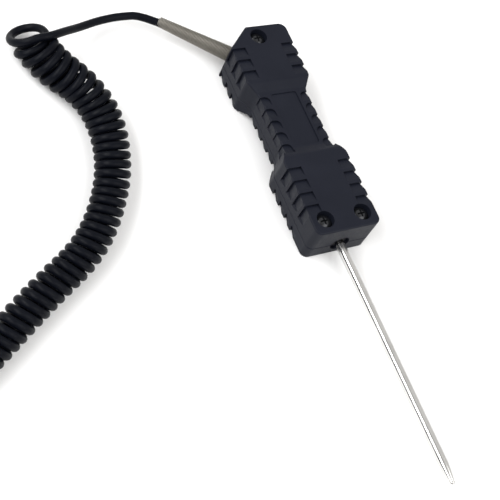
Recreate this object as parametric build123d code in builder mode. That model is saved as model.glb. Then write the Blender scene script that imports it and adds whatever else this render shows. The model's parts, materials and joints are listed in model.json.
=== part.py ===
from build123d import *
import os
from math import cos, pi, radians, sin, tan

# Hand-held penetration probe: a two-shell grip, a pointed stem and a curly cord with a jack plug.
# Millimetres. The grip lies on its back on Z = 0, its axis along Y, the stem pointing to -Y.
# X = 0 and Y = 0 are the middle of the grip and stem together.

# Driving dimensions of the grip
HEAD_HALF = 15.0        # half width of the two heads
WAIST_HALF = 11.3       # half width of the waist
THICK = 18.6            # front face to back face at the heads
WAIST_FRONT = 16.8      # front and back of the waist
WAIST_BACK = 2.45
PART_Z = 6.9            # height of the plane where the two shells meet
END_Y = 1.0             # face that the stem comes out of
TOP_Y = 103.0           # opposite end
CHAMFER_X = 11.0        # big corner chamfer that the cord leaves from
CHAMFER_Y = 10.0
WALL = 2.0
RIM_R = 0.7             # rounding along the front and back outlines
JOINT_CHAMFER = 0.25    # each shell's half of the groove along the joint

# Grip notches: saw-tooth wedges across the edges
NOTCH_PITCH = 5.9
NOTCH_DEPTH = 1.0
SHALLOW_NOTCH = 0.45    # on the sides of the waist, near the front
NOTCH_LENGTH = 4.6
UPPER_ROWS = [92.4 - NOTCH_PITCH * i for i in range(3)]
WAIST_ROWS = [68.0 - NOTCH_PITCH * i for i in range(5)]
LOWER_ROWS = [32.2 - NOTCH_PITCH * i for i in range(4)]
HEAD_NOTCH_IN = 8.6     # inner ends of the notches, from the middle plane
WAIST_NOTCH_IN = 7.3
WAIST_NOTCH_R = 2.2
FRONT_NOTCH_Z = 11.3    # how far down the sides the front notches reach
WAIST_FRONT_NOTCH_Z = 12.2
BACK_NOTCH_Z = 2.95     # how far up the sides the back notches reach
WAIST_BACK_NOTCH_Z = 4.1

LABEL_W = 12.0          # blank recess for a label
LABEL_Y = (43.0, 68.8)
LABEL_DEEP = 0.4

# Case screws
CASE_SCREWS = [(0.0, 97.3), (-8.66, 7.3), (8.66, 7.3)]
RECESS_R = 3.75
SEAT_Z = 15.4
TOWER_R = 4.8
TOWER_Z = 13.4
BOSS_R = 2.7
SCREW_HOLE_R = 1.65
PILOT_R = 1.5
SCREW_HEAD_R = 2.9
SCREW_HEAD_H = 2.1
SCREW_R = 1.45
SCREW_LENGTH = 13.0
SMALL_PILOT_R = 0.95     # for the board's and the clamp's screws

# Stem
STEM_R = 2.0
SEAT_R = 1.8            # turned-down seat of the stem inside the grip
SEAT_Y = 0.5
STEM_BORE_R = 1.65
STEM_TIP_Y = -103.0
TIP_SHOULDER_Y = -92.0
NOSE_Y = -101.9         # where the rounded point begins
NOSE_EDGE_R = 1.05
SPIGOT_LENGTH = 4.0
STEM_INNER_Y = 24.0
TIP_BORE_R = 1.0
TIP_BORE_Y = -98.3
BEAD_R = 0.7
BEAD_Y = -97.2
POTTING_Y = -88.5
OPENING_R = 4.2
OPENING_DEPTH = 1.5

# Cord, spring guard and coil
CORD_D = 3.4
GUARD_ANGLE = 40.0      # direction of the guard in plan, from -X towards +Y
GUARD_POINT = (-9.5, 98.1, PART_Z)
GUARD_ROOT = -2.1       # distances along the guard's axis, outwards from the chamfer
GUARD_TIP = 33.5
GUARD_ROOT_R = 3.55
GUARD_TIP_R = 2.3
GUARD_WIRE = 0.55
GUARD_HOLE_R = 3.75
COIL_D = 14.0
CORNER_SHARE = 0.45     # share of the shorter run that an arc of a route takes

LEAD_ROUTE = [
    (-0.31, 75.5, 6.9), (-0.31, 90.39, 6.9), (-39.8, 123.5, 6.9), (-50.2, 126.0, 6.1),
    (-60.5, 125.3, 5.7), (-70.3, 122.4, 6.5), (-79.5, 117.8, 9.8), (-86.7, 113.9, 11.2),
]
COIL_ROUTE = [
    (-94.2, 123.6, 7.0), (-90.2, 110.6, 7.0), (-85.2, 100.4, 7.0), (-79.8, 91.6, 7.0),
    (-75.6, 80.0, 7.0), (-76.0, 66.8, 7.0), (-79.8, 51.6, 7.0), (-86.4, 38.0, 7.0),
    (-95.1, 26.0, 7.0), (-105.0, 17.1, 7.0), (-117.6, 9.6, 7.0), (-131.0, 1.0, 7.0),
    (-143.0, -7.6, 7.0), (-153.0, -18.0, 7.0), (-160.5, -30.0, 7.0),
]
TAIL_ROUTE = [
    (-158.5, -25.0, 3.9), (-157.5, -36.0, 2.2), (-161.2, -44.0, 3.3), (-165.0, -50.5, 4.3),
    (-165.0, -72.0, 4.3),
]
PLUG_START = (-165.0, -55.0, 4.3)

# Parts on the cord's end, distances along -Y from PLUG_START
BOOT_END = 11.0
BODY_END = 33.0
SLEEVE_END = 41.0
GAP_LENGTH = 0.7
RING_END = 43.9
CONTACT_R = 1.75
PIN_ROOT_R = 1.5        # contact inside the body
INSULATOR_R = 1.55
PLUG_BODY_R = 4.2

# Board and clamp inside the grip
BOARD_W = 13.0
BOARD_Y = (33.0, 55.0)
BOARD_Z = 8.3
BOARD_T = 1.2
BOARD_SCREWS = [(-4.6, 44.0), (4.6, 44.0)]
LEAD_JOINTS = [(-1.6, 35.2), (1.6, 35.2)]
CORE_JOINTS = [(-4.0, 52.6), (-0.3, 52.6), (3.4, 52.6)]
LEAD_R = 0.3
CORE_R = 0.45
CLAMP_Y = 82.0
CLAMP_HALF = 6.2
CLAMP_LONG = 5.0
CLAMP_TOP = 10.4
CLAMP_SCREW_X = 4.2

OUTLINE = [
    ((HEAD_HALF, END_Y), 3.0), ((HEAD_HALF, 36.0), 3.5),
    ((WAIST_HALF, 42.5), 6.0), ((WAIST_HALF, 69.0), 6.0),
    ((HEAD_HALF, 75.2), 3.0), ((HEAD_HALF, TOP_Y), 3.5),
    ((CHAMFER_X - HEAD_HALF, TOP_Y), 1.2), ((-HEAD_HALF, TOP_Y - CHAMFER_Y), 1.2),
    ((-HEAD_HALF, 75.2), 3.0), ((-WAIST_HALF, 69.0), 6.0),
    ((-WAIST_HALF, 42.5), 6.0), ((-HEAD_HALF, 36.0), 3.5),
    ((-HEAD_HALF, END_Y), 3.0),
]
SIDE_PROFILE = [
    ((END_Y, 0), 0), ((38.0, 0), 3.0), ((42.0, WAIST_BACK), 3.0), ((69.8, WAIST_BACK), 3.0),
    ((74.5, 0), 3.0), ((TOP_Y, 0), 0), ((TOP_Y, THICK), 0), ((74.5, THICK), 3.0),
    ((69.8, WAIST_FRONT), 3.0), ((42.0, WAIST_FRONT), 3.0), ((38.0, THICK), 3.0), ((END_Y, THICK), 0),
]

GUARD_DIR = (-cos(radians(GUARD_ANGLE)), sin(radians(GUARD_ANGLE)), 0)
GUARD_PLANE = Plane(origin=GUARD_POINT, x_dir=(-GUARD_DIR[1], GUARD_DIR[0], 0), z_dir=GUARD_DIR)


# ---------------------------------------------------------------- shared shapes

def outline_face(corners, inset=0.0):
    """Face inside a polygon with rounded corners, drawn inwards by inset."""
    with BuildSketch() as outline:
        with BuildLine():
            Polyline(*[point for point, radius in corners], close=True)
        make_face()
        for point, radius in corners:
            if radius > 0:
                fillet(outline.vertices().sort_by_distance(point)[0], radius)
        if inset > 0:
            offset(amount=-inset, kind=Kind.INTERSECTION)
    return outline.sketch


def grip_form(inset=0.0):
    """The grip's outside form, or the same form shrunk on every side by inset."""
    plan = outline_face(OUTLINE, inset)
    side = outline_face(SIDE_PROFILE, inset)
    with BuildPart() as form:
        with BuildSketch(Plane.XY):
            add(plan)
        extrude(amount=THICK)
        with BuildSketch(Plane.YZ):
            add(side)
        extrude(amount=HEAD_HALF, both=True, mode=Mode.INTERSECT)
    return form.part


def rim_edges(part, facing):
    """Outline edges of the faces that look to the front (facing 1) or the back (facing -1)."""
    looking = part.faces().filter_by(lambda face: facing * face.normal_at().Z > 0.5)
    edges = looking.edges()
    return ShapeList([edge for edge in edges if sum(edge.is_same(other) for other in edges) == 1])


def corner_radii(points):
    """Radius of the arc at each corner of a route, as large as its two runs allow."""
    radii = []
    for before, corner, after in zip(points, points[1:], points[2:]):
        run_in = Vector(*corner) - Vector(*before)
        run_out = Vector(*after) - Vector(*corner)
        half_turn = radians(run_in.get_angle(run_out)) / 2
        radii.append(CORNER_SHARE * min(run_in.length, run_out.length) / tan(half_turn))
    return radii


def routed_tube(name, points, diameter):
    """Solid round tube along straight runs joined by tangent arcs."""
    radii = corner_radii(points)
    with BuildPart() as tube:
        with BuildLine() as route:
            FilletPolyline(*points, radius=radii)
        with BuildSketch(Plane(origin=route.line @ 0, z_dir=route.line % 0)):
            Circle(diameter / 2)
        sweep()
    section = pi * diameter ** 2 / 4
    length = sum(edge.length for edge in route.line.edges())
    share = tube.part.volume / (section * length)
    print(name, "radii", [round(r, 1) for r in radii], "length", round(length, 1))
    print(name, "volume over section x length", round(share, 4))
    return tube.part


def cross_recess_screw(head_r, head_h, shank_r, length):
    """Pan-head screw with a cross recess, head seated on Z = 0 and shank down -Z."""
    dome = head_h * 0.45
    point = shank_r * 1.1
    recess_w = head_r * 0.26
    with BuildPart() as screw:
        with BuildSketch(Plane.XZ):
            with BuildLine():
                Polyline((0, head_h), (0, -length), (shank_r * 0.25, -length),
                         (shank_r, point - length), (shank_r, 0), (head_r, 0), (head_r, head_h - dome))
                RadiusArc((head_r, head_h - dome), (0, head_h), -(head_r ** 2 + dome ** 2) / (2 * dome))
            make_face()
        revolve(axis=Axis.Z)
        with BuildSketch(Plane.XY.offset(head_h)):
            Rectangle(head_r * 1.15, recess_w)
            Rectangle(recess_w, head_r * 1.15)
        extrude(amount=-head_h * 0.62, taper=12, mode=Mode.SUBTRACT)
    return screw.part


def turned(plane, profile):
    """Solid of revolution about a plane's x axis, from points (distance along it, radius)."""
    with BuildPart() as body:
        with BuildSketch(plane):
            with BuildLine():
                Polyline(*profile, close=True)
            make_face()
        revolve(axis=Axis(plane.origin, plane.x_dir))
    return body.part


STEM_PLANE = Plane(origin=(0, 0, PART_Z), x_dir=(0, 1, 0), z_dir=(1, 0, 0))
GUARD_AXIS_PLANE = Plane(origin=GUARD_POINT, x_dir=GUARD_DIR, z_dir=(-GUARD_DIR[1], GUARD_DIR[0], 0))
PLUG_PLANE = Plane(origin=PLUG_START, x_dir=(0, -1, 0), z_dir=(-1, 0, 0))


# ---------------------------------------------------------------- grip: outside form with notches

def side_wedges(side, half, rows, depth):
    """Wedge outlines in plan, cut into one side."""
    for y in rows:
        Polygon((side * (half + 1), y), (side * (half - depth), y),
                (side * half, y - NOTCH_LENGTH), (side * (half + 1), y - NOTCH_LENGTH), align=None)


def face_wedges(rows, face_z, facing):
    """Wedge profiles along Y, sunk into the front (facing 1) or the back (facing -1)."""
    for y in rows:
        Polygon((y, face_z + facing), (y, face_z - facing * NOTCH_DEPTH),
                (y - NOTCH_LENGTH, face_z), (y - NOTCH_LENGTH, face_z + facing), align=None)


def waist_face_cutters(face_z, facing):
    """Waist notches on one face, with rounded inner ends."""
    reach = WAIST_HALF + 1
    with BuildPart() as cutters:
        with BuildSketch(Plane.YZ):
            face_wedges(WAIST_ROWS, face_z, facing)
        extrude(amount=reach, both=True)
        with BuildSketch(Plane.XY.offset(face_z - 2)):
            for side in (-1, 1):
                for y in WAIST_ROWS:
                    inner = side * WAIST_NOTCH_IN
                    low = y - NOTCH_LENGTH
                    with BuildLine():
                        FilletPolyline((side * reach, y), (inner, y), (inner, low), radius=WAIST_NOTCH_R)
                        Polyline((inner, low), (side * reach, low), (side * reach, y))
                    make_face()
        extrude(amount=4, mode=Mode.INTERSECT)
    return cutters.part


head_rows = UPPER_ROWS + LOWER_ROWS

# Half width, rows, depth, height where the notches end on the side, and how far they run from there.
# Beyond that height they run out in a 45 degree ramp.
SIDE_NOTCHES = [
    (HEAD_HALF, head_rows, NOTCH_DEPTH, FRONT_NOTCH_Z, THICK + 1 - FRONT_NOTCH_Z),
    (HEAD_HALF, head_rows, NOTCH_DEPTH, BACK_NOTCH_Z, -1 - BACK_NOTCH_Z),
    (WAIST_HALF, WAIST_ROWS, SHALLOW_NOTCH, WAIST_FRONT_NOTCH_Z, THICK - WAIST_FRONT_NOTCH_Z),
    (WAIST_HALF, WAIST_ROWS, NOTCH_DEPTH, WAIST_BACK_NOTCH_Z, -WAIST_BACK_NOTCH_Z),
]
waist_front_cutters = waist_face_cutters(WAIST_FRONT, 1)
waist_back_cutters = waist_face_cutters(WAIST_BACK, -1)
plain_grip = grip_form()

with BuildPart() as grip:
    add(plain_grip)
    fillet(rim_edges(grip.part, 1), RIM_R)
    fillet(rim_edges(grip.part, -1), RIM_R)
    for half, rows, depth, end_z, reach in SIDE_NOTCHES:
        for side in (-1, 1):
            with BuildSketch(Plane.XY.offset(end_z)) as wedges:
                side_wedges(side, half, rows, depth)
            extrude(amount=reach, mode=Mode.SUBTRACT)
            ramp_dir = (side, 0, -1 if reach > 0 else 1)
            extrude(wedges.sketch, amount=1.5 * depth, dir=ramp_dir, mode=Mode.SUBTRACT)
    for side in (-1, 1):
        for face_z, facing in ((THICK, 1), (0, -1)):
            with BuildSketch(Plane.YZ.offset(side * HEAD_NOTCH_IN)):
                face_wedges(head_rows, face_z, facing)
            extrude(amount=side * (HEAD_HALF + 1 - HEAD_NOTCH_IN), mode=Mode.SUBTRACT)
    add(waist_front_cutters, mode=Mode.SUBTRACT)
    add(waist_back_cutters, mode=Mode.SUBTRACT)
    with BuildSketch(Plane.XY.offset(WAIST_FRONT - LABEL_DEEP)):
        with Locations((0, sum(LABEL_Y) / 2)):
            RectangleRounded(LABEL_W, LABEL_Y[1] - LABEL_Y[0], 1.0)
    extrude(amount=2, mode=Mode.SUBTRACT)


# ---------------------------------------------------------------- grip: ribs that both shells carry

cavity = grip_form(WALL)
rib_limit = grip_form(WALL - 0.5)
RIB_T = 1.5
PROBE_RIBS = [8.0, 14.5]
EXIT_BLOCK = (12.4, 4.0)   # width and length of the block round the grommet
CORNER_RIB_AT = -5.0

with BuildPart() as ribs:
    for rib_y in PROBE_RIBS:
        with Locations((0, rib_y + RIB_T / 2, THICK / 2)):
            Box(10, RIB_T, THICK)
    with Locations((0, END_Y + WALL + EXIT_BLOCK[1] / 2 - 0.5, PART_Z)):
        Box(EXIT_BLOCK[0], EXIT_BLOCK[1] + 1, 12.4)
    with BuildSketch(GUARD_PLANE.offset(CORNER_RIB_AT)):
        Rectangle(10, 2 * THICK)
    extrude(amount=RIB_T)
    add(rib_limit, mode=Mode.INTERSECT)

GROMMET_R = 3.5
GROMMET_FLANGE_R = 4.7
GROMMET_Y = (END_Y + OPENING_DEPTH, 6.4)
FLANGE_Y = (3.8, 5.0)

# Space that the stem, grommet, guard and cord take out of the shells, as one tool
with BuildPart() as shell_clearance:
    add(turned(STEM_PLANE, [
        (END_Y - 1, 0), (END_Y - 1, OPENING_R), (GROMMET_Y[0], OPENING_R), (GROMMET_Y[0], GROMMET_R),
        (FLANGE_Y[0], GROMMET_R), (FLANGE_Y[0], GROMMET_FLANGE_R), (FLANGE_Y[1], GROMMET_FLANGE_R),
        (FLANGE_Y[1], GROMMET_R), (GROMMET_Y[1], GROMMET_R), (GROMMET_Y[1], SEAT_R + 0.05),
        (20, SEAT_R + 0.05), (20, 0),
    ]))
    add(turned(GUARD_AXIS_PLANE, [
        (CORNER_RIB_AT - 1, 0), (CORNER_RIB_AT - 1, CORD_D / 2 + 0.15), (-3.5, CORD_D / 2 + 0.15),
        (-3.5, 4.4), (-2.0, 4.4), (-2.0, GUARD_HOLE_R), (3, GUARD_HOLE_R), (3, 0),
    ]))


# ---------------------------------------------------------------- front shell

with BuildPart() as front_shell:
    add(grip.part)
    split(bisect_by=Plane.XY.offset(PART_Z), keep=Keep.TOP)
    meeting = front_shell.faces().filter_by(Axis.Z).sort_by(Axis.Z)[0]
    chamfer(meeting.outer_wire().edges(), JOINT_CHAMFER)
    add(cavity, mode=Mode.SUBTRACT)
    with BuildSketch(Plane.XY.offset(TOWER_Z)):
        with Locations(*CASE_SCREWS):
            Circle(TOWER_R)
    extrude(amount=THICK - 1 - TOWER_Z)
    with BuildSketch(Plane.XY.offset(PART_Z)):
        with Locations(*CASE_SCREWS):
            Circle(BOSS_R)
    extrude(amount=TOWER_Z - PART_Z + 0.5)
    add(ribs.part.split(Plane.XY.offset(PART_Z), keep=Keep.TOP))
    with Locations(*[(x, y, THICK) for x, y in CASE_SCREWS]):
        CounterBoreHole(SCREW_HOLE_R, RECESS_R, THICK - SEAT_Z)
    add(shell_clearance.part, mode=Mode.SUBTRACT)
front_shell.part.label = "front_shell"


# ---------------------------------------------------------------- rear shell, with the locating lip

LIP_TOP = 8.0
lip_outer = outline_face(OUTLINE, WALL + 0.12)
lip_inner = outline_face(OUTLINE, WALL + 1.1)
lip_root = outline_face(OUTLINE, WALL - 0.5)

with BuildPart() as lip:
    with BuildSketch(Plane.XY.offset(PART_Z - 1.4)):
        add(lip_root)
        add(lip_inner, mode=Mode.SUBTRACT)
    extrude(amount=1.3)
    with BuildSketch(Plane.XY.offset(PART_Z - 0.2)):
        add(lip_outer)
        add(lip_inner, mode=Mode.SUBTRACT)
    extrude(amount=LIP_TOP - PART_Z + 0.2)
    with Locations(*[(x, y, PART_Z + 1) for x, y in CASE_SCREWS]):
        Cylinder(BOSS_R + 0.3, 2, mode=Mode.SUBTRACT)
    with Locations((0, END_Y + WALL + 2, PART_Z + 1)):
        Box(EXIT_BLOCK[0] + 0.6, 8, 2, mode=Mode.SUBTRACT)
    with BuildSketch(GUARD_PLANE.offset(CORNER_RIB_AT - 0.3)):
        Circle(6.2)
    extrude(amount=8, mode=Mode.SUBTRACT)

POST_R = 2.2
CLAMP_POST_Z = 7.6

with BuildPart() as rear_shell:
    add(grip.part)
    split(bisect_by=Plane.XY.offset(PART_Z), keep=Keep.BOTTOM)
    meeting = rear_shell.faces().filter_by(Axis.Z).sort_by(Axis.Z)[-1]
    chamfer(meeting.outer_wire().edges(), JOINT_CHAMFER)
    add(cavity, mode=Mode.SUBTRACT)
    with BuildSketch(Plane.XY.offset(1.0)):
        with Locations(*CASE_SCREWS):
            Circle(BOSS_R)
    extrude(amount=PART_Z - 1.0)
    add(lip.part)
    add(ribs.part.split(Plane.XY.offset(PART_Z), keep=Keep.BOTTOM))
    with BuildSketch(Plane.XY.offset(WAIST_BACK + 0.5)):
        with Locations(*BOARD_SCREWS):
            Circle(POST_R)
    extrude(amount=BOARD_Z - WAIST_BACK - 0.5)
    with BuildSketch(Plane.XY.offset(1.0)):
        with Locations((-CLAMP_SCREW_X, CLAMP_Y), (CLAMP_SCREW_X, CLAMP_Y)):
            Circle(POST_R)
        with Locations((0, CLAMP_Y)):
            Rectangle(2 * CLAMP_SCREW_X, 2.4)
    extrude(amount=CLAMP_POST_Z - 1.0)
    with Locations(*[(x, y, PART_Z) for x, y in CASE_SCREWS]):
        Hole(PILOT_R, PART_Z - 1.6)
    with Locations(*[(x, y, BOARD_Z) for x, y in BOARD_SCREWS]):
        Hole(SMALL_PILOT_R, 4.2)
    with Locations((-CLAMP_SCREW_X, CLAMP_Y, CLAMP_POST_Z), (CLAMP_SCREW_X, CLAMP_Y, CLAMP_POST_Z)):
        Hole(SMALL_PILOT_R, 5.2)
    with Locations(Location((LEAD_ROUTE[0][0], CLAMP_Y, PART_Z), (90, 0, 0))):
        Cylinder(CORD_D / 2, 6, mode=Mode.SUBTRACT)
    with Locations((LEAD_ROUTE[0][0], CLAMP_Y, PART_Z + 2)):
        Box(CORD_D, 6, 4, mode=Mode.SUBTRACT)
    add(shell_clearance.part, mode=Mode.SUBTRACT)
rear_shell.part.label = "rear_shell"


# ---------------------------------------------------------------- screws

def screws_at(screw, places):
    """The same screw at several places, its seat at each."""
    with BuildPart() as group:
        with Locations(*places):
            add(screw)
    return group


case_screw = cross_recess_screw(SCREW_HEAD_R, SCREW_HEAD_H, SCREW_R, SCREW_LENGTH)
small_screw = cross_recess_screw(1.7, 1.2, 0.9, 4.8)
case_screws = screws_at(case_screw, [(x, y, SEAT_Z) for x, y in CASE_SCREWS])
case_screws.part.label = "case_screws"
board_screws = screws_at(small_screw, [(x, y, BOARD_Z + BOARD_T) for x, y in BOARD_SCREWS])
board_screws.part.label = "board_screws"
clamp_screws = screws_at(small_screw, [
    (-CLAMP_SCREW_X, CLAMP_Y, CLAMP_TOP), (CLAMP_SCREW_X, CLAMP_Y, CLAMP_TOP),
])
clamp_screws.part.label = "clamp_screws"


# ---------------------------------------------------------------- stem and sensor

with BuildPart() as probe_tube:
    add(turned(STEM_PLANE, [
        (TIP_SHOULDER_Y, STEM_BORE_R), (TIP_SHOULDER_Y, STEM_R), (SEAT_Y, STEM_R), (SEAT_Y, SEAT_R),
        (STEM_INNER_Y, SEAT_R), (STEM_INNER_Y, STEM_BORE_R),
    ]))
probe_tube.part.label = "probe_tube"

SPIGOT_END = TIP_SHOULDER_Y + SPIGOT_LENGTH
nose_length = NOSE_Y - STEM_TIP_Y
nose_radius = (nose_length ** 2 + NOSE_EDGE_R ** 2) / (2 * nose_length)
with BuildPart() as probe_tip:
    with BuildSketch(STEM_PLANE):
        with BuildLine():
            TangentArc((TIP_SHOULDER_Y, STEM_R), (NOSE_Y, NOSE_EDGE_R), tangent=(-1, 0))
            RadiusArc((NOSE_Y, NOSE_EDGE_R), (STEM_TIP_Y, 0), -nose_radius)
            Polyline((STEM_TIP_Y, 0), (TIP_BORE_Y, 0), (TIP_BORE_Y, TIP_BORE_R), (SPIGOT_END, TIP_BORE_R),
                     (SPIGOT_END, STEM_BORE_R), (TIP_SHOULDER_Y, STEM_BORE_R), (TIP_SHOULDER_Y, STEM_R))
        make_face()
    revolve(axis=Axis(STEM_PLANE.origin, STEM_PLANE.x_dir))
probe_tip.part.label = "probe_tip"

with BuildPart() as sensor_bead:
    with Locations((0, BEAD_Y, PART_Z)):
        Sphere(BEAD_R)
sensor_bead.part.label = "sensor_bead"

LEAD_X = 0.4
BEND_Y = 27.0
JOINT_Z = BOARD_Z + BOARD_T + 0.5


def sensor_lead(name, side, joint):
    """One insulated lead, from the bead through the stem to its joint on the board."""
    start_y = BEAD_Y + 0.55
    route = [
        (side * LEAD_X, start_y, PART_Z), (side * LEAD_X, BEND_Y, PART_Z),
        (joint[0], joint[1] - 3.4, JOINT_Z), (joint[0], joint[1] - 0.6, JOINT_Z),
    ]
    tube = routed_tube(name, route, 2 * LEAD_R)
    with BuildPart() as lead:
        add(tube)
        add(sensor_bead.part, mode=Mode.SUBTRACT)
    lead.part.label = name
    return lead


lead_red = sensor_lead("lead_red", -1, LEAD_JOINTS[0])
lead_white = sensor_lead("lead_white", 1, LEAD_JOINTS[1])

with BuildPart() as tip_potting:
    with Locations(Location((0, (TIP_BORE_Y + POTTING_Y) / 2, PART_Z), (90, 0, 0))):
        Cylinder(TIP_BORE_R, POTTING_Y - TIP_BORE_Y)
    add(sensor_bead.part, mode=Mode.SUBTRACT)
    add(lead_red.part, mode=Mode.SUBTRACT)
    add(lead_white.part, mode=Mode.SUBTRACT)
tip_potting.part.label = "tip_potting"

with BuildPart() as lead_liner:
    add(turned(STEM_PLANE, [(SPIGOT_END, 0.95), (SPIGOT_END, 1.3), (STEM_INNER_Y + 1.5, 1.3),
                            (STEM_INNER_Y + 1.5, 0.95)]))
lead_liner.part.label = "lead_liner"

COLLAR_Y = (PROBE_RIBS[0] + RIB_T, PROBE_RIBS[1])
with BuildPart() as probe_collar:
    add(turned(STEM_PLANE, [
        (COLLAR_Y[0], SEAT_R), (COLLAR_Y[0], 3.2), (COLLAR_Y[0] + 1.6, 3.2), (COLLAR_Y[0] + 1.9, 2.8),
        (COLLAR_Y[1] - 1.9, 2.8), (COLLAR_Y[1] - 1.6, 3.2), (COLLAR_Y[1], 3.2), (COLLAR_Y[1], SEAT_R),
    ]))
probe_collar.part.label = "probe_collar"

with BuildPart() as probe_grommet:
    add(turned(STEM_PLANE, [
        (GROMMET_Y[0], SEAT_R), (GROMMET_Y[0], GROMMET_R), (FLANGE_Y[0], GROMMET_R),
        (FLANGE_Y[0], GROMMET_FLANGE_R), (FLANGE_Y[1], GROMMET_FLANGE_R), (FLANGE_Y[1], GROMMET_R),
        (GROMMET_Y[1], GROMMET_R), (GROMMET_Y[1], SEAT_R),
    ]))
probe_grommet.part.label = "probe_grommet"


# ---------------------------------------------------------------- board

with BuildPart() as junction_board:
    with BuildSketch(Plane.XY.offset(BOARD_Z)):
        with Locations((0, sum(BOARD_Y) / 2)):
            RectangleRounded(BOARD_W, BOARD_Y[1] - BOARD_Y[0], 1.0)
        with Locations(*BOARD_SCREWS):
            Circle(1.1, mode=Mode.SUBTRACT)
    extrude(amount=BOARD_T)
junction_board.part.label = "junction_board"

with BuildPart() as solder_joints:
    with Locations(*[(x, y, BOARD_Z + BOARD_T) for x, y in LEAD_JOINTS + CORE_JOINTS]):
        Cone(1.0, 0.35, 1.2, align=(Align.CENTER, Align.CENTER, Align.MIN))

with BuildPart() as matching_resistor:
    with Locations(Location((0, 47.6, BOARD_Z + BOARD_T + 1.1), (0, 90, 0))):
        Cylinder(0.9, 4.6)
        Cylinder(1.1, 3.0)
    fillet(matching_resistor.edges().filter_by(GeomType.CIRCLE).group_by(Axis.X)[0], 0.25)
    fillet(matching_resistor.edges().filter_by(GeomType.CIRCLE).group_by(Axis.X)[-1], 0.25)
matching_resistor.part.label = "matching_resistor"


# ---------------------------------------------------------------- cord, coil and tail

cord_coil_tube = routed_tube("cord_coil", COIL_ROUTE, COIL_D)
with BuildPart() as cord_coil:
    add(cord_coil_tube)
cord_coil.part.label = "cord_coil"

cord_lead_tube = routed_tube("cord_lead", LEAD_ROUTE, CORD_D)
with BuildPart() as cord_lead:
    add(cord_lead_tube)
    add(cord_coil.part, mode=Mode.SUBTRACT)
cord_lead.part.label = "cord_lead"

cord_end_tube = routed_tube("cord_end", TAIL_ROUTE, CORD_D)
with BuildPart() as cord_end:
    add(cord_end_tube)
    add(cord_coil.part, mode=Mode.SUBTRACT)
cord_end.part.label = "cord_end"


def cord_core(name, offset_x, joint):
    """One insulated core, from the end of the cord's jacket to its joint on the board."""
    start = LEAD_ROUTE[0]
    route = [
        (start[0] + offset_x * 0.9, start[1], PART_Z), (start[0] + offset_x * 1.1, start[1] - 5, PART_Z + 0.3),
        (joint[0], joint[1] + 7.5, JOINT_Z + 0.6), (joint[0], joint[1] + 0.4, JOINT_Z),
    ]
    tube = routed_tube(name, route, 2 * CORE_R)
    with BuildPart() as core:
        add(tube)
        add(cord_lead.part, mode=Mode.SUBTRACT)
    core.part.label = name
    return core


conductor_red = cord_core("conductor_red", -1, CORE_JOINTS[0])
conductor_white = cord_core("conductor_white", 0, CORE_JOINTS[1])
conductor_black = cord_core("conductor_black", 1, CORE_JOINTS[2])

wires = [lead_red, lead_white, conductor_red, conductor_white, conductor_black]
with BuildPart() as soldered:
    add(solder_joints.part)
    for wire in wires:
        add(wire.part, mode=Mode.SUBTRACT)
soldered.part.label = "solder_joints"

with BuildPart() as jacket_sleeve:
    with Locations(Location((LEAD_ROUTE[0][0], LEAD_ROUTE[0][1] + 1.9, PART_Z), (90, 0, 0))):
        Cylinder(CORD_D / 2 + 0.35, 4)
        Cylinder(CORD_D / 2, 4, mode=Mode.SUBTRACT)
jacket_sleeve.part.label = "jacket_sleeve"

with BuildPart() as cord_clamp:
    with Locations((0, CLAMP_Y, (CLAMP_POST_Z + CLAMP_TOP) / 2)):
        Box(2 * CLAMP_HALF, CLAMP_LONG, CLAMP_TOP - CLAMP_POST_Z)
    fillet(cord_clamp.edges().filter_by(Axis.Z), 1.5)
    chamfer(cord_clamp.faces().sort_by(Axis.Z)[-1].edges(), 0.3)
    with Locations(Location((LEAD_ROUTE[0][0], CLAMP_Y, PART_Z), (90, 0, 0))):
        Cylinder(CORD_D / 2, CLAMP_LONG, mode=Mode.SUBTRACT)
    with Locations((-CLAMP_SCREW_X, CLAMP_Y, CLAMP_TOP), (CLAMP_SCREW_X, CLAMP_Y, CLAMP_TOP)):
        Hole(1.1)
cord_clamp.part.label = "cord_clamp"


# ---------------------------------------------------------------- spring guard and its bush

with BuildPart() as spring_guard:
    add(turned(GUARD_AXIS_PLANE, [
        (GUARD_ROOT, GUARD_ROOT_R - GUARD_WIRE), (GUARD_ROOT, GUARD_ROOT_R),
        (GUARD_TIP, GUARD_TIP_R), (GUARD_TIP, GUARD_TIP_R - GUARD_WIRE),
    ]))
spring_guard.part.label = "spring_guard"

with BuildPart() as guard_bush:
    add(turned(GUARD_AXIS_PLANE, [
        (-3.4, CORD_D / 2 + 0.1), (-3.4, 4.3), (GUARD_ROOT, 4.3), (GUARD_ROOT, 2.6),
        (2.0, 2.6), (2.0, CORD_D / 2 + 0.1),
    ]))
guard_bush.part.label = "guard_bush"


# ---------------------------------------------------------------- plug

def boot_profile():
    """Profile of the ribbed bend relief: six grooves along a taper."""
    points = [(0, CORD_D / 2), (0, 2.5)]
    ribs_count = 5
    pitch = 1.9
    for i in range(ribs_count):
        at = 0.9 + pitch * i
        radius = 2.6 + 0.18 * i
        points += [(at, radius), (at, radius - 0.45), (at + 0.8, radius - 0.4), (at + 0.8, radius + 0.1)]
    points += [(BOOT_END, 3.5), (BOOT_END, CORD_D / 2)]
    return points


with BuildPart() as plug_boot:
    add(turned(PLUG_PLANE, boot_profile()))
plug_boot.part.label = "plug_boot"

with BuildPart() as cord_in_plug:
    add(turned(PLUG_PLANE, [(0, 0), (0, CORD_D / 2), (BOOT_END + 6, CORD_D / 2), (BOOT_END + 6, 0)]))

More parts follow.
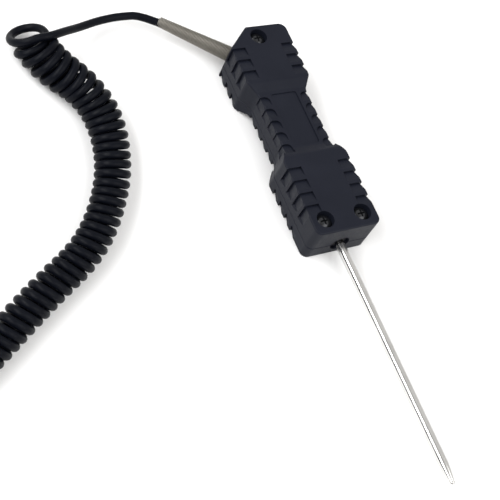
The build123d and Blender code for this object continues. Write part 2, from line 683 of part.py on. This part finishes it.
with BuildPart() as plug_body:
    add(turned(PLUG_PLANE, [
        (BOOT_END, 0), (BOOT_END, 3.7), (BOOT_END + 0.8, PLUG_BODY_R - 0.1), (BOOT_END + 1.5, PLUG_BODY_R),
        (BODY_END - 3.0, PLUG_BODY_R), (BODY_END - 2.6, PLUG_BODY_R - 0.4), (BODY_END - 0.5, 3.7),
        (BODY_END, 3.2), (BODY_END, 0),
    ]))
    add(cord_in_plug.part, mode=Mode.SUBTRACT)
    add(turned(PLUG_PLANE, [
        (BODY_END - 8, 0), (BODY_END - 8, PIN_ROOT_R), (BODY_END + 1, PIN_ROOT_R), (BODY_END + 1, 0),
    ]), mode=Mode.SUBTRACT)
plug_body.part.label = "plug_body"

PIN_CORE_R = 0.8
with BuildPart() as plug_sleeve:
    add(turned(PLUG_PLANE, [
        (BODY_END - 8, 1.2), (BODY_END - 8, PIN_ROOT_R), (BODY_END, PIN_ROOT_R), (BODY_END, CONTACT_R),
        (SLEEVE_END, CONTACT_R), (SLEEVE_END, 1.2),
    ]))
plug_sleeve.part.label = "plug_sleeve"

with BuildPart() as plug_ring:
    add(turned(PLUG_PLANE, [
        (SLEEVE_END + GAP_LENGTH, PIN_CORE_R), (SLEEVE_END + GAP_LENGTH, CONTACT_R),
        (RING_END, CONTACT_R), (RING_END, PIN_CORE_R),
    ]))
plug_ring.part.label = "plug_ring"

with BuildPart() as plug_insulators:
    add(turned(PLUG_PLANE, [
        (BODY_END - 8, PIN_CORE_R), (BODY_END - 8, 1.2), (SLEEVE_END, 1.2), (SLEEVE_END, INSULATOR_R),
        (SLEEVE_END + GAP_LENGTH, INSULATOR_R), (SLEEVE_END + GAP_LENGTH, PIN_CORE_R),
    ]))
    add(turned(PLUG_PLANE, [
        (RING_END, PIN_CORE_R), (RING_END, INSULATOR_R), (RING_END + GAP_LENGTH, INSULATOR_R),
        (RING_END + GAP_LENGTH, PIN_CORE_R),
    ]))
plug_insulators.part.label = "plug_insulators"

TIP_START = RING_END + GAP_LENGTH
with BuildPart() as plug_tip:
    add(turned(PLUG_PLANE, [
        (BODY_END - 8, 0), (BODY_END - 8, PIN_CORE_R), (TIP_START, PIN_CORE_R), (TIP_START, CONTACT_R),
        (TIP_START + 0.3, CONTACT_R), (TIP_START + 0.9, 1.15), (TIP_START + 1.4, 1.6),
        (TIP_START + 1.9, 1.6), (TIP_START + 3.0, 0.7), (TIP_START + 3.2, 0),
    ]))
plug_tip.part.label = "plug_tip"


# ---------------------------------------------------------------- files

pieces = [
    front_shell, rear_shell, case_screws, probe_tube, probe_tip, sensor_bead, tip_potting, lead_red,
    lead_white, lead_liner, probe_collar, probe_grommet, junction_board, matching_resistor, soldered,
    board_screws, conductor_red, conductor_white, conductor_black, jacket_sleeve, cord_clamp,
    clamp_screws, guard_bush, spring_guard, cord_lead, cord_coil, cord_end, plug_boot, plug_body,
    plug_sleeve, plug_ring, plug_insulators, plug_tip,
]
os.makedirs("parts", exist_ok=True)
for piece in pieces:
    export_step(piece.part, "parts/" + piece.part.label + ".step")
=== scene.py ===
import json
from math import cos, pi, radians, sin

import bmesh
import bpy
from mathutils import Matrix, Vector


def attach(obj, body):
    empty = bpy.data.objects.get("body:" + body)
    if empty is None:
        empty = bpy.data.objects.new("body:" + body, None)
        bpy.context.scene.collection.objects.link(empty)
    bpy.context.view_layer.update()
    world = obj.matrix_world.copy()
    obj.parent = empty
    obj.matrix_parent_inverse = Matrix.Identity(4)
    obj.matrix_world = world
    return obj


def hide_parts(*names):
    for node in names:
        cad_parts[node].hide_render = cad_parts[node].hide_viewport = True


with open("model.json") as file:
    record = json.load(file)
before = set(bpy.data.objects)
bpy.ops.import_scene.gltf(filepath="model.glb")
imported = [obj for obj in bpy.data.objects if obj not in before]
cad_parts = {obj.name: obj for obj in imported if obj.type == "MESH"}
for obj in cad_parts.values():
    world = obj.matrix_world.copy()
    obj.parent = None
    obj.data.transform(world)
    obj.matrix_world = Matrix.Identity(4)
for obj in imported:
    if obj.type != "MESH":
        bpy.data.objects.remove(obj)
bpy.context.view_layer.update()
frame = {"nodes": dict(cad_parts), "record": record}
nodes = frame["nodes"]
scene = bpy.context.scene
MM = 0.001


# ---------------------------------------------------------------- camera

EYE = Vector((-0.2347, -0.1548, 0.3642))
LOOK = Vector((0.4473, 0.3679, -0.8152)).normalized()
UP_HINT = Vector((0.1881, 0.8524, 0.4879))
right = LOOK.cross(UP_HINT).normalized()
up = right.cross(LOOK)

camera_data = bpy.data.cameras.new("camera")
camera_data.lens = 81.65
camera_data.sensor_width = 36.0
camera_data.clip_start = 0.01
camera = bpy.data.objects.new("camera", camera_data)
scene.collection.objects.link(camera)
camera.matrix_world = Matrix.Translation(EYE) @ Matrix((right, up, -LOOK)).transposed().to_4x4()
scene.camera = camera


# ---------------------------------------------------------------- cord: lead, helix and tail

# Everything about the cord is in millimetres and degrees

CORD_D = 3.4
PITCH = 4.25
TURN_POINTS = 14        # points on each turn
FIRST_ANGLE = 105.0     # where on the first turn the lead joins, from its left side over the top
LAST_ANGLE = 285.0      # the tail leaves the last turn on the floor
END_GAP = 3.0           # from the last turn's centre to the end of the coil's axis

# Turn, distance of its centre along the coil's axis, lean towards the travel, turn to the left of the
# travel, and height above the floor. The first turn has fallen forward over the second.
FIRST_TURNS = [
    (0.0, 4.8, 53.0, 17.0, 2.8), (0.46, 3.8, 54.0, 17.0, 1.2), (0.71, 4.6, 54.0, 15.0, 0.8),
    (0.96, 7.0, 56.0, 14.0, 0.0), (1.21, 9.6, 49.0, 14.0, 0.0), (1.46, 10.8, 44.0, 15.0, 0.0),
    (1.96, 13.3, 40.0, 17.0, 0.0), (2.46, 15.6, 38.0, 18.0, 0.0), (3.46, 20.4, 36.0, 17.0, 0.0),
    (6.0, 31.4, 34.0, 13.0, 0.0), (9.0, 44.4, 32.0, 8.0, 0.0), (14.0, 66.0, 29.0, 0.0, 0.0),
]
END_LEAN = 26.0         # lean of the last turn

# Distance along the coil's axis, radius of the turns: wider towards the lead, where they are slack
COIL_RADII = [
    (0.0, 7.2), (12.0, 7.5), (24.0, 7.1), (38.0, 6.5), (55.0, 6.3), (70.0, 5.8), (90.0, 5.5),
    (130.0, 5.5), (193.0, 5.2),
]

# Route points, beside those of the CAD's tubes
LEAD_ROUTE = [
    (-0.31, 75.5, 6.9), (-0.31, 90.39, 6.9), (-39.8, 123.5, 6.9), (-50.2, 125.4, 5.5),
    (-60.5, 124.5, 5.2), (-70.5, 120.4, 7.4), (-79.2, 116.0, 11.6), (-86.8, 112.4, 14.2),
]
COIL_ROUTE = [
    (-94.0, 123.6, 7.0), (-91.2, 110.2, 7.0), (-86.2, 99.8, 7.0), (-79.4, 91.6, 7.0),
    (-75.6, 80.0, 7.0), (-75.7, 66.8, 7.0), (-79.4, 51.6, 7.0), (-86.4, 38.0, 7.0),
    (-95.1, 26.0, 7.0), (-105.0, 17.1, 7.0), (-117.6, 9.6, 7.0), (-131.0, 0.6, 7.0),
    (-142.5, -7.4, 7.0), (-151.3, -13.4, 7.0), (-160.0, -19.5, 7.0),
]
TAIL_ROUTE = [
    (-154.0, -22.0, 1.8), (-153.4, -28.5, 1.8), (-156.6, -36.2, 2.1), (-161.8, -43.2, 3.3),
    (-165.0, -50.5, 4.3), (-165.0, -57.0, 4.3), (-165.0, -72.0, 4.3),
]
EXIT = (-9.5, 98.1, 6.9)        # where the cord leaves the grip


def nurbs_curve(name, points, resolution, radius=0.001):
    """A curve object with one open NURBS spline. Points and section radius are in millimetres."""
    data = bpy.data.curves.new(name, "CURVE")
    data.dimensions = "3D"
    spline = data.splines.new("NURBS")
    spline.points.add(len(points) - 1)
    for point, place in zip(spline.points, points):
        point.co = (*(value * MM for value in place), 1.0)
        point.radius = radius * MM
    spline.order_u = 3
    spline.use_endpoint_u = True
    spline.resolution_u = resolution
    data.resolution_u = resolution
    obj = bpy.data.objects.new(name, data)
    scene.collection.objects.link(obj)
    return obj


def curve_samples(obj):
    """Points along a curve without a bevel, with the distance to each, in millimetres."""
    mesh = bpy.data.meshes.new_from_object(obj)
    points = [v.co.copy() / MM for v in mesh.vertices]
    bpy.data.meshes.remove(mesh)
    distances = [0.0]
    for a, b in zip(points, points[1:]):
        distances.append(distances[-1] + (b - a).length)
    return points, distances


def between(table, at, column):
    """Value of a table's column at a place along its first column."""
    for low, high in zip(table, table[1:]):
        if at <= high[0]:
            return low[column] + (high[column] - low[column]) * (at - low[0]) / (high[0] - low[0])
    return table[-1][column]


AXIS_RESOLUTION = 24
axis_curve = nurbs_curve("coil_axis", COIL_ROUTE, AXIS_RESOLUTION)
axis_points, axis_distances = curve_samples(axis_curve)
bpy.data.objects.remove(axis_curve)
COIL_LENGTH = axis_distances[-1]
SMOOTHING = 8           # samples to each side that the direction of travel is taken over


def axis_at(distance):
    """Place and direction of travel on the coil's axis."""
    i = 1
    while i < len(axis_distances) - 1 and axis_distances[i] < distance:
        i += 1
    a, b = axis_points[i - 1], axis_points[i]
    share = (distance - axis_distances[i - 1]) / (axis_distances[i] - axis_distances[i - 1])
    behind = axis_points[max(i - SMOOTHING, 0)]
    ahead = axis_points[min(i + SMOOTHING - 1, len(axis_points) - 1)]
    return a.lerp(b, share), (ahead - behind).normalized()


def uneven(angle):
    """Small wander of the turns along the coil's axis."""
    return 0.12 * sin(angle * 0.23) + 0.08 * sin(angle * 0.61 + 1.0)


def helix_points():
    """Points of the leaning right-hand helix. Each turn rests on the floor, but for the first ones."""
    first = radians(FIRST_ANGLE)
    turn, done = FIRST_TURNS[-1][:2]
    more = round((COIL_LENGTH - END_GAP - done) / PITCH)
    turns = turn + more + (LAST_ANGLE - FIRST_ANGLE) / 360
    table = FIRST_TURNS + [(turns, COIL_LENGTH - END_GAP, END_LEAN, 0.0, 0.0)]
    last = first + 2 * pi * turns
    count = int((last - first) / (2 * pi) * TURN_POINTS)
    points = []
    for i in range(count + 1):
        angle = first + (last - first) * i / count
        at = (angle - first) / (2 * pi)
        distance = between(table, at, 1)
        centre, travel = axis_at(distance)
        lean = radians(between(table, at, 2))
        travel = Matrix.Rotation(radians(between(table, at, 3)), 3, "Z") @ travel
        radius = between(COIL_RADII, distance, 1)
        side = Vector((-travel.y, travel.x, 0))
        rise = Vector((0, 0, cos(lean))) + travel * sin(lean)
        height = CORD_D / 2 + radius * cos(lean) + between(table, at, 4)
        centre = Vector((centre.x, centre.y, height)) + travel * uneven(angle)
        points.append(tuple(centre + side * radius * cos(angle) + rise * radius * sin(angle)))
    return points


CORD_RESOLUTION = 6
cord = nurbs_curve("curly_cord", LEAD_ROUTE + helix_points() + TAIL_ROUTE, CORD_RESOLUTION, CORD_D / 2)
CORD_LENGTH = curve_samples(cord)[1][-1]
cord.data.bevel_depth = 1.0
cord.data.bevel_resolution = 5
cord.data.use_fill_caps = True
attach(cord, "root")
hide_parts("cord_lead", "cord_coil", "cord_end")


# ---------------------------------------------------------------- spring guard: a tapered close winding

GUARD_ANGLE = radians(40.0)
GUARD_DIR = Vector((-cos(GUARD_ANGLE), sin(GUARD_ANGLE), 0))
GUARD_SIDE = Vector((-GUARD_DIR.y, GUARD_DIR.x, 0))
GUARD_ROOT, GUARD_TIP = -2.1, 33.5      # distances along the guard from EXIT
GUARD_ROOT_R, GUARD_TIP_R = 3.55, 2.3
GUARD_WIRE = 0.55
GUARD_PITCH = GUARD_WIRE * 1.04


def guard_points():
    """Centre line of the spring guard's wire, a helix on a taper."""
    start, end = GUARD_ROOT + GUARD_WIRE / 2, GUARD_TIP - GUARD_WIRE / 2
    turns = (end - start) / GUARD_PITCH
    steps = int(turns * TURN_POINTS)
    points = []
    for i in range(steps + 1):
        share = i / steps
        angle = 2 * pi * turns * share
        radius = GUARD_ROOT_R + (GUARD_TIP_R - GUARD_ROOT_R) * share - GUARD_WIRE / 2
        place = Vector(EXIT) + GUARD_DIR * (start + (end - start) * share)
        place += GUARD_SIDE * radius * cos(angle) + Vector((0, 0, 1)) * radius * sin(angle)
        points.append(tuple(place))
    return points


WIRE_RESOLUTION = 3
spring = nurbs_curve("spring_wire", guard_points(), WIRE_RESOLUTION, GUARD_WIRE / 2)
spring.data.bevel_depth = 1.0
spring.data.bevel_resolution = 2
spring.data.use_fill_caps = True
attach(spring, "root")
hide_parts("spring_guard")


# ---------------------------------------------------------------- materials

def new_material(name, color, rough, metallic=0.0, coat=0.0, specular=0.5):
    """A Principled material. What is the same all over the surface is set on the shader's own sockets."""
    material = bpy.data.materials.new(name)
    material.use_nodes = True
    tree = material.node_tree
    shader = tree.nodes["Principled BSDF"]
    shader.inputs["Base Color"].default_value = (*color, 1.0)
    shader.inputs["Roughness"].default_value = rough
    shader.inputs["Metallic"].default_value = metallic
    shader.inputs["Coat Weight"].default_value = coat
    shader.inputs["Specular IOR Level"].default_value = specular
    return material, tree, shader


def position(tree, scale=(1, 1, 1)):
    """Object coordinates, stretched along the axes."""
    coords = tree.nodes.new("ShaderNodeTexCoord")
    mapping = tree.nodes.new("ShaderNodeMapping")
    mapping.inputs["Scale"].default_value = scale
    tree.links.new(coords.outputs["Object"], mapping.inputs["Vector"])
    return mapping.outputs["Vector"]


def noise(tree, vector, scale, detail=2.0, rough=0.5):
    """Soft noise over a vector, 0 to 1."""
    node = tree.nodes.new("ShaderNodeTexNoise")
    node.inputs["Scale"].default_value = scale
    node.inputs["Detail"].default_value = detail
    node.inputs["Roughness"].default_value = rough
    tree.links.new(vector, node.inputs["Vector"])
    return node.outputs["Fac"]


def ramp(tree, factor, stops):
    """Colour ramp over (position, colour) stops."""
    node = tree.nodes.new("ShaderNodeValToRGB")
    elements = node.color_ramp.elements
    while len(elements) < len(stops):
        elements.new(0.5)
    for element, (place, color) in zip(elements, stops):
        element.position = place
        element.color = (*color, 1.0)
    tree.links.new(factor, node.inputs["Fac"])
    return node.outputs["Color"]


def spread(tree, factor, low, high, start=0.3, end=0.7):
    """Maps a factor's range from start to end onto low to high."""
    node = tree.nodes.new("ShaderNodeMapRange")
    node.inputs["From Min"].default_value = start
    node.inputs["From Max"].default_value = end
    node.inputs["To Min"].default_value = low
    node.inputs["To Max"].default_value = high
    tree.links.new(factor, node.inputs["Value"])
    return node.outputs["Result"]


def bump(tree, shader, height, distance, strength=1.0):
    """Raises the surface by a height, its distance in metres."""
    node = tree.nodes.new("ShaderNodeBump")
    node.inputs["Distance"].default_value = distance
    node.inputs["Strength"].default_value = strength
    tree.links.new(height, node.inputs["Height"])
    tree.links.new(node.outputs["Normal"], shader.inputs["Normal"])


def varied(name, dark, light, rough, scales, depth, metallic=0.0, coat=0.0, specular=0.5):
    """Tone that drifts in soft patches, with a fine grain in the surface and in the roughness."""
    material, tree, shader = new_material(name, light, rough[0], metallic, coat, specular)
    vector = position(tree)
    patches = noise(tree, vector, scales[0], 4.0, 0.6)
    grain = noise(tree, vector, scales[1], 3.0, 0.6)
    tree.links.new(ramp(tree, patches, [(0.3, dark), (0.7, light)]), shader.inputs["Base Color"])
    tree.links.new(spread(tree, grain, *rough), shader.inputs["Roughness"])
    bump(tree, shader, grain, depth)
    return material


def metal(name, color, rough, stretch, line_scale, depth):
    """Metal with a faint haze and fine lines, drawn out where the stretch is uneven."""
    material, tree, shader = new_material(name, color, rough[0], 1.0)
    lines = noise(tree, position(tree, stretch), line_scale, 4.0, 0.7)
    haze = noise(tree, position(tree), 90.0, 3.0, 0.6)
    darker = tuple(value * 0.86 for value in color)
    tree.links.new(ramp(tree, haze, [(0.3, darker), (0.7, color)]), shader.inputs["Base Color"])
    tree.links.new(spread(tree, lines, *rough), shader.inputs["Roughness"])
    bump(tree, shader, lines, depth)
    return material


def case_material():
    """Spark-textured moulding: fine pits, a faint cloudy tone and scuffs in the sheen."""
    dark, light = (0.0075, 0.0088, 0.0148), (0.0100, 0.0115, 0.0185)
    material, tree, shader = new_material("case_plastic", light, 0.5, specular=0.12)
    vector = position(tree)
    clouds = noise(tree, vector, 55.0, 5.0, 0.6)
    pits = noise(tree, vector, 2600.0, 2.0, 0.7)
    scuffs = noise(tree, position(tree, (1.0, 0.25, 1.0)), 420.0, 5.0, 0.75)
    tree.links.new(ramp(tree, clouds, [(0.3, dark), (0.7, light)]), shader.inputs["Base Color"])
    tree.links.new(spread(tree, scuffs, 0.40, 0.50), shader.inputs["Roughness"])
    bump(tree, shader, pits, 0.00006, 0.55)
    return material


EVEN = (1.0, 1.0, 1.0)
ALONG_Y = (1.0, 0.04, 1.0)      # lines drawn out along Y
ROUND_Y = (1.0, 12.0, 1.0)      # turning marks round Y
FINE_ACROSS_X = (12.0, 1.0, 1.0)

# Tones are linear colours. For varied: dark, light, roughness from and to, scales of patches and grain,
# grain depth. For metal: colour, roughness from and to, stretch, scale of the lines, their depth.
MATERIALS = {
    "case_plastic": case_material(),
    "black_screw": varied("black_screw", (0.016, 0.017, 0.02), (0.028, 0.029, 0.033),
                          (0.14, 0.26), (400.0, 2500.0), 0.00002, metallic=0.6, specular=0.8),
    "stainless": metal("stainless", (0.74, 0.735, 0.72), (0.14, 0.26), ALONG_Y, 2600.0, 0.000004),
    "spring_steel": metal("spring_steel", (0.28, 0.265, 0.235), (0.55, 0.70), EVEN, 900.0, 0.00001),
    "bead_glass": varied("bead_glass", (0.14, 0.04, 0.015), (0.20, 0.06, 0.02),
                         (0.08, 0.15), (600.0, 2000.0), 0.00001, coat=0.6),
    "potting": varied("potting", (0.62, 0.60, 0.53), (0.70, 0.68, 0.62),
                      (0.55, 0.7), (500.0, 1800.0), 0.00004),
    "wire_red": varied("wire_red", (0.38, 0.012, 0.01), (0.48, 0.02, 0.014),
                       (0.35, 0.48), (300.0, 2200.0), 0.00001),
    "wire_white": varied("wire_white", (0.70, 0.69, 0.64), (0.80, 0.79, 0.75),
                         (0.35, 0.48), (300.0, 2200.0), 0.00001),
    "wire_black": varied("wire_black", (0.008, 0.008, 0.010), (0.014, 0.014, 0.017),
                         (0.35, 0.48), (300.0, 2200.0), 0.00001),
    "liner_plastic": varied("liner_plastic", (0.72, 0.71, 0.66), (0.80, 0.79, 0.74),
                            (0.28, 0.4), (200.0, 1500.0), 0.00001),
    "collar_brass": metal("collar_brass", (0.62, 0.42, 0.16), (0.22, 0.36), ROUND_Y, 500.0, 0.000008),
    "grommet_rubber": varied("grommet_rubber", (0.006, 0.006, 0.007), (0.012, 0.012, 0.014),
                             (0.6, 0.75), (300.0, 1800.0), 0.00003),
    "board_green": varied("board_green", (0.008, 0.07, 0.025), (0.014, 0.10, 0.038),
                          (0.28, 0.4), (350.0, 1400.0), 0.00001, coat=0.3),
    "resistor_body": varied("resistor_body", (0.12, 0.26, 0.36), (0.17, 0.34, 0.44),
                            (0.25, 0.35), (400.0, 1800.0), 0.00001, coat=0.4),
    "solder": metal("solder", (0.62, 0.63, 0.64), (0.18, 0.34), EVEN, 700.0, 0.00001),
    "small_screw": metal("small_screw", (0.60, 0.59, 0.55), (0.22, 0.36), EVEN, 900.0, 0.00001),
    "sleeve_black": varied("sleeve_black", (0.009, 0.009, 0.011), (0.016, 0.016, 0.019),
                           (0.4, 0.55), (300.0, 1500.0), 0.00002),
    "clamp_plastic": varied("clamp_plastic", (0.62, 0.58, 0.49), (0.70, 0.66, 0.57),
                            (0.38, 0.5), (200.0, 1400.0), 0.00002),
    "bush_plastic": varied("bush_plastic", (0.013, 0.014, 0.018), (0.022, 0.023, 0.028),
                           (0.4, 0.52), (200.0, 1600.0), 0.00002),
    "cord_jacket": varied("cord_jacket", (0.0018, 0.0024, 0.0046), (0.0030, 0.0038, 0.0068),
                          (0.36, 0.50), (120.0, 1500.0), 0.00003, specular=0.08),
    "plug_plastic": varied("plug_plastic", (0.008, 0.0085, 0.0105), (0.013, 0.0135, 0.016),
                           (0.26, 0.4), (200.0, 1800.0), 0.00002),
    "plug_contact": metal("plug_contact", (0.74, 0.71, 0.64), (0.12, 0.24), FINE_ACROSS_X, 500.0,
                          0.000004),
    "plug_insulator": varied("plug_insulator", (0.005, 0.005, 0.006), (0.010, 0.010, 0.012),
                             (0.25, 0.36), (300.0, 1800.0), 0.00001),
}

slots = {entry["node"]: entry["material_slot"] for entry in frame["record"]["subparts"]}
for name, node in nodes.items():
    node.data.materials.clear()
    node.data.materials.append(MATERIALS[slots[name]])
cord.data.materials.append(MATERIALS["cord_jacket"])
spring.data.materials.append(MATERIALS["spring_steel"])


# ---------------------------------------------------------------- floor and light

FLOOR_HALF = 3.0        # metres, as are the lights' places and sizes


def floor():
    """A plain pale floor."""
    mesh = bpy.data.meshes.new("floor")
    form = bmesh.new()
    bmesh.ops.create_grid(form, x_segments=1, y_segments=1, size=FLOOR_HALF)
    form.to_mesh(mesh)
    form.free()
    obj = bpy.data.objects.new("floor", mesh)
    scene.collection.objects.link(obj)
    material, tree, shader = new_material("floor", (0.92, 0.92, 0.92), 0.9)
    patches = noise(tree, position(tree), 3.0)
    tone = ramp(tree, patches, [(0.3, (0.9, 0.9, 0.9)), (0.7, (0.93, 0.93, 0.93))])
    tree.links.new(tone, shader.inputs["Base Color"])
    mesh.materials.append(material)


def area_light(name, place, target, size, power):
    """A soft rectangular light at a place, turned to its target."""
    data = bpy.data.lights.new(name, "AREA")
    data.shape = "RECTANGLE"
    data.size, data.size_y = size
    data.energy = power
    obj = bpy.data.objects.new(name, data)
    scene.collection.objects.link(obj)
    obj.location = place
    obj.rotation_euler = (Vector(target) - Vector(place)).to_track_quat("-Z", "Y").to_euler()


floor()
area_light("key", (-0.80, 0.25, 0.80), (-0.05, 0.0, 0), (1.6, 0.5), 17.0)
area_light("top", (0.35, -0.75, 0.95), (-0.03, 0, 0), (1.2, 1.2), 10.0)

# The world is dark to the -X side and bright to the +X side
world = bpy.data.worlds.new("world")
scene.world = world
world.use_nodes = True
world_tree = world.node_tree
background = world_tree.nodes["Background"]
background.inputs["Color"].default_value = (1.0, 0.985, 0.965, 1.0)
direction = world_tree.nodes.new("ShaderNodeTexCoord").outputs["Generated"]
parts_of = world_tree.nodes.new("ShaderNodeSeparateXYZ")
world_tree.links.new(direction, parts_of.inputs["Vector"])
strength = spread(world_tree, parts_of.outputs["X"], 0.03, 0.75, -0.85, 0.1)
world_tree.links.new(strength, background.inputs["Strength"])
scene.view_settings.view_transform = "Standard"
